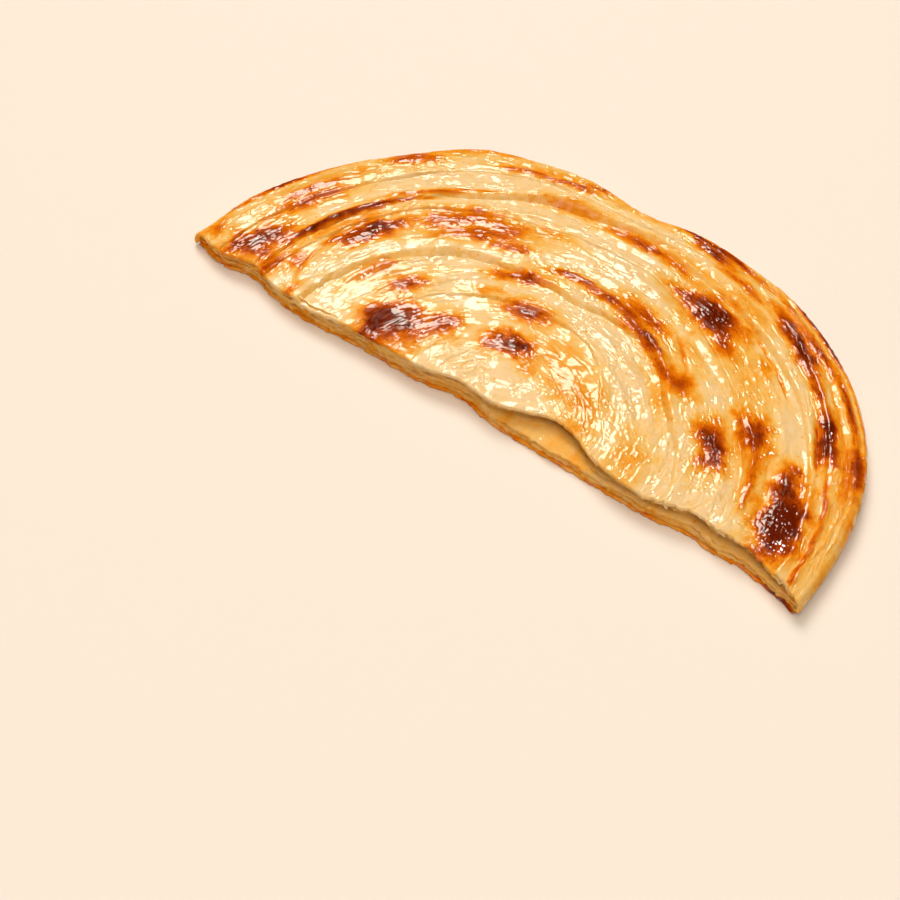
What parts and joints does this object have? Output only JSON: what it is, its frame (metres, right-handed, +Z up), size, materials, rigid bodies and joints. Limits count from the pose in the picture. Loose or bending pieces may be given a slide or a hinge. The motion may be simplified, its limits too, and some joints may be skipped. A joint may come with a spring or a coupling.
{
  "type": "half paratha flatbread",
  "caption": "Half of a round layered flatbread, cut straight across, with a coiled, browned top and flaky layers at its cut side.",
  "frame": {"origin": "middle of the piece's box, at its flat underside", "axes": "+X along the straight cut, towards the square corner; +Y from the cut towards the round rim; +Z up through the thickness"},
  "size_m": [0.1982, 0.1008, 0.0088],
  "materials": {
    "griddled_dough": "oily, browned in patches"
  },
  "bodies": {
    "root": {"paratha_half": "griddled_dough"}
  },
  "joints": []
}
